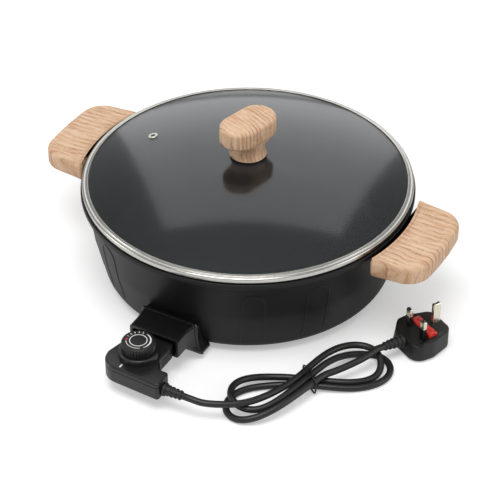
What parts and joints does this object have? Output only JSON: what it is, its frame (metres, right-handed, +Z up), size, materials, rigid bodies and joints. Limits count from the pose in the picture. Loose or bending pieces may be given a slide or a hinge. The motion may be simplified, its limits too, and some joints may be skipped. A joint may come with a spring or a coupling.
{
  "type": "electric hot pot",
  "caption": "Wide black electric hot pot with a glass lift-off lid, wooden grips, a plug-in heat control and a tied mains lead with a three-pin plug.",
  "frame": {"origin": "centre of the base cover's flat underside, on the pan's upright axis", "axes": "+X towards the right grip, -Y towards the socket and the heat control, +Z up"},
  "size_m": [0.4377, 0.3963, 0.171],
  "materials": {
    "black_coating": "satin",
    "aluminium_parts": "satin",
    "steel_parts": "satin",
    "steel_trim": "polished",
    "lid_glass": "gloss",
    "wood_grip": "satin",
    "gloss_black": "gloss",
    "matt_black": "matt",
    "black_rubber": "matt",
    "brass_parts": "polished",
    "white_inlay": "matt",
    "red_plastic": "gloss",
    "pale_ceramic": "matt"
  },
  "bodies": {
    "base": {"pan_body": "black_coating", "heating_element": "aluminium_parts", "terminal_pin_left": "steel_parts", "terminal_pin_right": "steel_parts", "probe_sleeve": "aluminium_parts", "socket_housing": "gloss_black", "socket_screw_left": "steel_parts", "socket_screw_right": "steel_parts", "base_cover": "matt_black", "base_screw_1": "steel_parts", "base_screw_2": "steel_parts", "base_screw_3": "steel_parts", "foot_1": "black_rubber", "foot_2": "black_rubber", "foot_3": "black_rubber", "foot_4": "black_rubber", "handle_right": "wood_grip", "handle_left": "wood_grip", "handle_bracket_right": "matt_black", "handle_bracket_left": "matt_black", "handle_screw_right_1": "steel_parts", "handle_screw_right_2": "steel_parts", "handle_screw_left_1": "steel_parts", "handle_screw_left_2": "steel_parts"},
    "lid": {"lid_glass": "lid_glass", "lid_rim": "steel_trim", "vent_eyelet": "steel_trim", "lid_knob": "wood_grip", "knob_washer": "matt_black", "knob_lower_washer": "steel_parts", "knob_screw": "steel_parts"},
    "control": {"control_lower_case": "gloss_black", "control_upper_case": "gloss_black", "control_screw_left": "steel_parts", "control_screw_right": "steel_parts", "index_mark": "white_inlay", "thermostat_body": "pale_ceramic", "probe_rod": "steel_parts", "contact_sleeve_left": "brass_parts", "contact_sleeve_right": "brass_parts", "control_strain_relief": "black_rubber", "cord_lead": "black_rubber", "cord_hank": "black_rubber", "cord_tail": "black_rubber", "twist_tie": "matt_black", "plug_body": "gloss_black", "plug_strain_relief": "black_rubber", "neutral_pin": "brass_parts", "live_pin": "brass_parts", "earth_pin": "brass_parts"},
    "dial": {"dial": "gloss_black", "dial_spindle": "brass_parts"},
    "fuse_drawer": {"fuse_carrier": "red_plastic", "fuse": "pale_ceramic"}
  },
  "joints": [
    {"name": "lid_lift", "type": "slide", "parent": "base", "child": "lid", "axis": [0, 0, 1], "range_m": [0, 0.15]},
    {"name": "control_pull", "type": "slide", "parent": "base", "child": "control", "axis": [0, -1, 0], "range_m": [0, 0.06]},
    {"name": "dial_turn", "type": "hinge", "parent": "control", "child": "dial", "pos_m": [0, -0.206, 0.044], "axis": [0, 0, -1], "range_deg": [0, 270]},
    {"name": "fuse_carrier_pull", "type": "slide", "parent": "control", "child": "fuse_drawer", "axis": [0, 0, 1], "range_m": [0, 0.018]}
  ]
}
